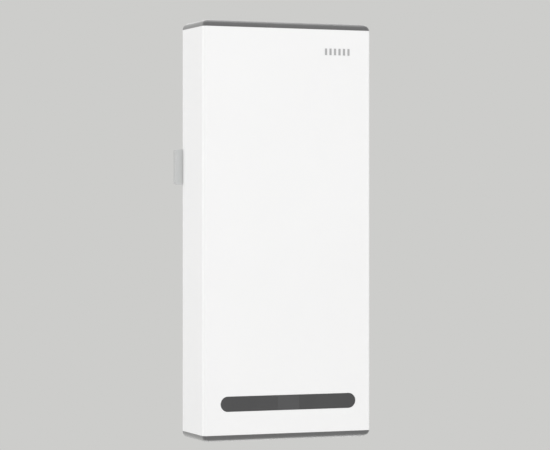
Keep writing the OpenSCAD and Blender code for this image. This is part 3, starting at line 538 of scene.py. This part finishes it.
def make_impeller():
    """Domed hub with twisted blades in place of the plain impeller."""
    low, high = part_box("fan_impeller")
    centre = Vector((0, 0, (low.z + high.z) / 2))
    hub_r, wall, tip_r = 20 * MM, 1.5 * MM, (high.x - low.x) / 2 - 0.1 * MM
    shape = bmesh.new()
    front, back = low.y, high.y
    hub = [(0, front + 0.1 * MM), (9 * MM, front + 0.15 * MM), (16 * MM, front + 0.5 * MM),
           (18.8 * MM, front + 1.2 * MM), (hub_r, front + 2.8 * MM), (hub_r, back), (hub_r - wall, back),
           (hub_r - wall, front + 3.2 * MM), (3.6 * MM, front + 3.0 * MM), (3.6 * MM, front + 4 * MM),
           (1.6 * MM, front + 4 * MM), (1.6 * MM, front + 1.75 * MM), (0, front + 1.75 * MM)]
    lathe_into(shape, hub, centre, steps=72)
    root_r = hub_r - 0.7 * MM
    for blade in range(BLADES):
        rings = []
        for k in range(BLADE_SECTIONS + 1):
            share = k / BLADE_SECTIONS
            r = root_r + (tip_r - root_r) * share
            chord = (21 + 9 * share) * MM
            tilt = math.radians(50 - 17 * share)
            sweep = math.radians(360 / BLADES * blade + 9 * share * share)
            thick = (2.0 - 0.9 * share) * MM
            round_tip = math.sqrt(1 - max(0.0, share - 0.9) ** 2 / 0.012)
            chord *= 0.82 + 0.18 * round_tip
            ring = []
            for j in list(range(POINTS_PER_SIDE + 1)) + list(range(-POINTS_PER_SIDE + 1, 0)):
                s = abs(j) / POINTS_PER_SIDE
                bulge = 0.11 * chord * (1 - (2 * s - 1) ** 2)
                bulge += (0.5 if j >= 0 else -0.5) * thick * math.sin(math.pi * s ** 0.6)
                round_way = (s - 0.5) * chord * math.cos(tilt) + bulge * math.sin(tilt)
                axial = (s - 0.5) * chord * math.sin(tilt) - bulge * math.cos(tilt)
                a = sweep + round_way / r
                ring.append(shape.verts.new((r * math.cos(a), (front + back) / 2 + 0.9 * MM + axial,
                                             centre.z + r * math.sin(a))))
            rings.append(ring)
        for one, two in zip(rings, rings[1:]):
            for j in range(len(one)):
                n = (j + 1) % len(one)
                shape.faces.new((one[j], one[n], two[n], two[j]))
        shape.faces.new(rings[0])
        shape.faces.new(rings[-1])
    piece("impeller", shape, "fan_impeller", replaced=["fan_impeller"], bevel=0.25 * MM)


def cross_head_into(shape, place, away, head, shank, recess, steps=28):
    """Adds a pan head with a cross recess. away points from the head's top down its shank.

    head is (radius, height), shank is (radius, length) or None, and recess is (half width,
    half length, depth).
    """
    across = away.orthogonal().normalized()
    up = away.cross(across)
    turn = dice.uniform(0, math.pi / 2)

    def spot(radius, angle, down):
        return place + away * down + radius * (math.cos(angle) * across + math.sin(angle) * up)

    head_r, head_h = head
    profile = [(0.78 * head_r, 0.0), (0.92 * head_r, 0.12 * head_h), (head_r, 0.42 * head_h),
               (head_r, head_h)]
    if shank:
        profile += [(shank[0], head_h), (shank[0], head_h + shank[1] - 0.5 * shank[0]),
                    (0.5 * shank[0], head_h + shank[1])]
    rings = [[shape.verts.new(spot(r, 2 * math.pi * k / steps, d)) for k in range(steps)]
             for r, d in profile]
    for one, two in zip(rings, rings[1:]):
        for k in range(steps):
            n = (k + 1) % steps
            shape.faces.new((one[k], one[n], two[n], two[k]))
    shape.faces.new(rings[-1])
    width, length, depth = recess
    outline = []
    for quarter in range(4):
        a = turn + quarter * math.pi / 2
        c, s = math.cos(a), math.sin(a)
        for along, aside in ((length, -width), (length, width), (width, width)):
            outline.append((along * c - aside * s, along * s + aside * c))
    rim = [shape.verts.new(place + u * across + v * up) for u, v in outline]
    foot = [shape.verts.new(place + 0.8 * (u * across + v * up) + away * depth) for u, v in outline]
    edges = [shape.edges.get((rings[0][k], rings[0][(k + 1) % steps])) for k in range(steps)]
    corners = len(outline)
    edges += [shape.edges.new((rim[k], rim[(k + 1) % corners])) for k in range(corners)]
    bmesh.ops.triangle_fill(shape, edges=edges, use_beauty=True)
    for k in range(corners):
        n = (k + 1) % corners
        shape.faces.new((rim[k], rim[n], foot[n], foot[k]))
    shape.faces.new(foot)


SCREWS = {
    # node: (head height, shank radius) in mm
    "deck_screws": (2.0, 1.5), "board_screws": (1.8, 1.25), "fan_screws": (2.4, 1.98),
    "collar_screws": (1.6, 1.5), "motor_screws": (1.8, 1.5), "cover_screws": (1.6, 1.45),
}


def make_screws():
    """Cross-recessed screws in place of the plain ones, each turned its own way."""
    for node, (head_h, shank_r) in SCREWS.items():
        away = Vector((0, 0, 1)) if node == "cover_screws" else Vector((0, 1, 0))
        shape = bmesh.new()
        for low, high in loose_boxes(node):
            head_r = (high.x - low.x) / 2
            place = (low + high) / 2
            length = abs((high - low).dot(away))
            place -= away * length / 2
            cross_head_into(shape, place, away, (head_r, head_h * MM),
                            (shank_r * MM, length - head_h * MM),
                            (0.14 * head_r, 0.55 * head_r, 0.6 * head_h * MM))
        piece(node + "_heads", shape, node, replaced=[node])


def make_capacitors():
    """Sleeved cans with a crimp, and their scored tops."""
    sleeves, tops = bmesh.new(), bmesh.new()
    for low, high in loose_boxes("capacitors"):
        r, base, top = (high.x - low.x) / 2, high.y, low.y
        centre = Vector(((low.x + high.x) / 2, 0, (low.z + high.z) / 2))
        foot = [(0, base), (0.9 * r, base), (r, base - 0.5 * MM)]
        crimp = [(r, base - 1.6 * MM), (0.92 * r, base - 2.1 * MM), (0.92 * r, base - 2.5 * MM),
                 (r, base - 3.0 * MM)]
        rim = [(r, top + 0.7 * MM), (0.97 * r, top + 0.2 * MM), (0.9 * r, top),
               (0.84 * r, top + 0.1 * MM), (0.82 * r, top + 0.5 * MM), (0, top + 0.5 * MM)]
        lathe_into(sleeves, foot + crimp + rim, centre)
        cross_head_into(tops, centre + Vector((0, top + 0.15 * MM, 0)), Vector((0, 1, 0)),
                        (0.815 * r, 0.3 * MM), None, (0.035 * r, 0.5 * r, 0.2 * MM))
    piece("capacitor_sleeves", sleeves, "capacitors", replaced=["capacitors"])
    piece("capacitor_tops", tops, "capacitors", slot="zinc_steel")


CORE_SHEETS = 16
HALF_STACK = 8 * MM


def make_transformer():
    """Stacked core sheets, a taped winding and its bobbin."""
    low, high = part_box("transformer")
    x, z = (low.x + high.x) / 2, (low.z + high.z) / 2
    front, base = low.y, high.y
    core, winding, bobbin = bmesh.new(), bmesh.new(), bmesh.new()
    for k in range(CORE_SHEETS):
        z0 = z - HALF_STACK + 2 * HALF_STACK * k / CORE_SHEETS
        slip = dice.uniform(0, 0.16) * MM
        box_into(core, (x - 17 * MM + slip, front + slip, z0),
                 (x + 17 * MM - slip, base - 1.5 * MM, z0 + 0.88 * MM))
    box_into(winding, (x - 10.3 * MM, front + 3.7 * MM, z - 12.6 * MM),
             (x + 10.3 * MM, base - 5.1 * MM, z + 12.6 * MM), bevel=2.2 * MM)
    for side in (-1, 1):
        edge = z + side * 13.3 * MM
        box_into(bobbin, (x - 11 * MM, front + 3 * MM, edge - 0.7 * MM),
                 (x + 11 * MM, base - 4.5 * MM, edge + 0.7 * MM), bevel=0.25 * MM)
        for foot in (-12 * MM, 12 * MM):
            box_into(bobbin, (x + foot - 3 * MM, base - 2 * MM, z + side * 12 * MM - 1.6 * MM),
                     (x + foot + 3 * MM, base, z + side * 12 * MM), bevel=0.2 * MM)
            box_into(bobbin, (x + foot - 3 * MM, base - 2 * MM, z + side * 8.2 * MM),
                     (x + foot + 3 * MM, base - 1.6 * MM, z + side * 12 * MM))
    piece("transformer_core", core, "transformer", replaced=["transformer"], slot="zinc_steel")
    piece("transformer_winding", winding, "transformer", slot="part_yellow")
    piece("transformer_bobbin", bobbin, "transformer", slot="black_plastic")


TERMINAL_WAYS = 4


def make_terminal_screws():
    """Clamping screws down the holes of the terminal block."""
    low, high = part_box("terminal_block")
    shape = bmesh.new()
    for k in range(TERMINAL_WAYS):
        x = low.x + (high.x - low.x) * (k + 0.5) / TERMINAL_WAYS
        place = Vector((x, high.y - 10.6 * MM, (low.z + high.z) / 2 + 2.5 * MM))
        cross_head_into(shape, place, Vector((0, 1, 0)), (2.3 * MM, 1.4 * MM), None,
                        (0.3 * MM, 1.5 * MM, 0.8 * MM))
    piece("terminal_screws", shape, "terminal_block", slot="zinc_steel")


SMALL_PARTS = 42
CHIPS = 3
CHIP_PINS = 5
TRIES = 40
EDGE_GAP = 5 * MM
PART_GAP = 1.2
END_LIP = 0.06 * MM


def make_small_parts():
    """Surface-mounted parts strewn over the free places of both boards."""
    bodies, ends = bmesh.new(), bmesh.new()
    taken = []
    for node in ("transformer", "capacitors", "terminal_block", "radio_module", "board_connectors",
                 "board_screws", "motor_lead", "power_lead", "display_ribbon"):
        taken += loose_boxes(node)
    for board in ("power_board", "control_board"):
        low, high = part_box(board)
        face = low.y
        for k in range(SMALL_PARTS):
            chip = k < CHIPS
            half = Vector((2.6, 2.0)) if chip else Vector((1.0, 0.62))
            if not chip and dice.random() < 0.5:
                half = Vector((half.y, half.x))
            tall = 1.5 if chip else dice.choice((0.5, 0.6, 0.9))
            reach = (half + Vector((PART_GAP, PART_GAP))) * MM
            for attempt in range(TRIES):
                x = dice.uniform(low.x + EDGE_GAP, high.x - EDGE_GAP)
                z = dice.uniform(low.z + EDGE_GAP, high.z - EDGE_GAP)
                if all(x + reach.x < a.x or x - reach.x > b.x
                       or z + reach.y < a.z or z - reach.y > b.z for a, b in taken):
                    break
            else:
                continue
            half_x, half_z = half.x * MM, half.y * MM
            taken.append((Vector((x - half_x, 0, z - half_z)), Vector((x + half_x, 0, z + half_z))))
            box_into(bodies, (x - half_x, face - tall * MM, z - half_z),
                     (x + half_x, face, z + half_z), bevel=0.12 * MM)
            if chip:
                for pin in range(CHIP_PINS):
                    px = x + half_x * (2 * (pin + 0.5) / CHIP_PINS - 1)
                    for side in (-1, 1):
                        near, far = z + side * half_z, z + side * (half_z + 0.9 * MM)
                        box_into(ends, (px - 0.2 * MM, face - 0.6 * MM, min(near, far)),
                                 (px + 0.2 * MM, face, max(near, far)))
            else:
                top = face - tall * MM - END_LIP
                wide_x, wide_z = half_x + END_LIP, half_z + END_LIP
                for side in (-1, 1):
                    if half_x > half_z:
                        a, b = sorted((x + side * wide_x, x + side * 0.62 * half_x))
                        box_into(ends, (a, top, z - wide_z), (b, face, z + wide_z))
                    else:
                        a, b = sorted((z + side * wide_z, z + side * 0.62 * half_z))
                        box_into(ends, (x - wide_x, top, a), (x + wide_x, face, b))
    piece("small_part_bodies", bodies, "control_board", slot="black_plastic")
    piece("small_part_ends", ends, "control_board", slot="shield_tin")


# ---------- Camera, light and stage ----------

CAMERA_PLACE = Vector((-1.0977, -2.8077, 0.0194))
CAMERA_YAW = math.radians(21.724)
FOCAL_MM = 149.99
SENSOR_MM = 36.0
SHIFT_Y = -0.0173
BACKGROUND = (0.610, 0.610, 0.597)
FLOOR_DROP = 0.5
FLOOR_PROFILE = [(0.0, 0.0), (1.2, 0.0), (3.2, 0.0), (3.4, -0.02)]


def make_camera():
    """A long lens at the unit's height, to the left of its front."""
    data = bpy.data.cameras.new("camera")
    data.sensor_width = SENSOR_MM
    data.lens = FOCAL_MM
    data.shift_y = SHIFT_Y
    data.clip_end = 60
    camera = bpy.data.objects.new("camera", data)
    bpy.context.scene.collection.objects.link(camera)
    camera.location = CAMERA_PLACE
    camera.rotation_euler = (math.radians(90), 0, -CAMERA_YAW)
    bpy.context.scene.camera = camera


def area_light(name, place, target, size, power):
    """A rectangular light that faces its target."""
    data = bpy.data.lights.new(name, "AREA")
    data.shape = "RECTANGLE"
    data.size, data.size_y = size
    data.energy = power
    light = bpy.data.objects.new(name, data)
    bpy.context.scene.collection.objects.link(light)
    light.location = place
    light.rotation_euler = (Vector(target) - Vector(place)).to_track_quat("-Z", "Y").to_euler()


def make_studio():
    """Even pale surroundings, a large soft light from the front, a floor well below the unit."""
    scene = bpy.context.scene
    scene.view_settings.view_transform = "Standard"
    world = bpy.data.worlds.new("studio")
    world.use_nodes = True
    world.node_tree.nodes["Background"].inputs["Color"].default_value = (*BACKGROUND, 1)
    world.node_tree.nodes["Background"].inputs["Strength"].default_value = 1.0
    scene.world = world
    area_light("key", (-0.9, -3.4, 0.3), (0, 0, 0), (2.6, 2.6), 52.6)
    area_light("fill_left", (-2.7, 1.3, 0.4), (0, 0, 0), (1.2, 2.4), 30)
    area_light("fill_right", (3.0, -1.2, 0.5), (0, 0, 0), (2.0, 2.4), 15.5)
    area_light("back", (1.5, 3.2, 1.6), (0, 0, 0), (2.4, 2.4), 22)
    # Two that brighten the rounded outer edges of the caps.
    area_light("overhead", (0.5, 0.35, 1.6), (0.5, 0.35, 0), (1.2, 0.9), 7)
    area_light("bounce", (0.2, 0.3, -0.72), (0.2, 0.3, 0), (0.6, 0.7), 2.6)

    shape = bmesh.new()
    lathe_into(shape, FLOOR_PROFILE, (0, 0, cad_low.z - FLOOR_DROP), axis="Z")
    mesh = bpy.data.meshes.new("floor")
    shape.to_mesh(mesh)
    shape.free()
    floor = bpy.data.objects.new("floor", mesh)
    scene.collection.objects.link(floor)
    paint = Surface("floor_paint", (0.60, 0.60, 0.59), 0.8, specular=0.2)
    paint.vary(0.01, 3).grain(300, 0.00005, 0.03)
    mesh.materials.append(paint.material)


# ---------- CAD nodes that stay ----------

BEVELS = {
    # node: width of its rounded edges in mm
    "sleeve": 0.15, "top_cap": 0.35, "bottom_cap": 0.35, "display_window": 0.25, "window_lens": 0.2,
    "front_badge": 0.08, "pull_tab": 0.5, "wall_frame": 0.3, "deck_plate": 0.2, "duct_collar": 0.3,
    "heat_core": 0.12, "core_ring": 0.2, "hinge_brackets": 0.25, "hinge_arms": 0.25,
    "magnet_holders": 0.4, "catch_magnets": 0.3, "catch_plates": 0.3, "shutter_base": 0.25,
    "shutter_disc": 0.2, "drive_pinion": 0.12, "motor_bracket": 0.25, "shutter_motor": 0.5,
    "fan_frame": 0.5, "fan_stator": 0.15, "fan_mounts": 0.5, "fan_grille": 0.6, "power_board": 0.12,
    "control_board": 0.12, "display_board": 0.12, "display_holder": 0.4, "cable_grommet": 0.5,
    "filter_frame": 0.5, "filter_media": 0.2, "radio_module": 0.2, "board_connectors": 0.3,
    "terminal_block": 0.3,
}

# Broad flat nodes, in which long thin triangles would show as streaks.
FLATTENED = ("wall_frame", "deck_plate", "shutter_disc", "shutter_base")


def dress_cad_nodes():
    """Gives every CAD node its material, and small rounds where it has real edges."""
    for name, obj in nodes.items():
        obj.data.materials.clear()
        obj.data.materials.append(materials[slot_of_node[name]])
        obj.data.polygons.foreach_set("material_index", [0] * len(obj.data.polygons))
        if obj.hide_render:
            continue
        if "custom_normal" in obj.data.attributes:
            obj.data.attributes.remove(obj.data.attributes["custom_normal"])
        obj.data.polygons.foreach_set("use_smooth", [True] * len(obj.data.polygons))
        finish_mesh(obj, BEVELS.get(name, 0.0) * MM, flatten=name in FLATTENED)


make_camera()
make_studio()
make_liner()
make_impeller()
make_leads()
make_screws()
make_capacitors()
make_transformer()
make_terminal_screws()
make_small_parts()
dress_cad_nodes()
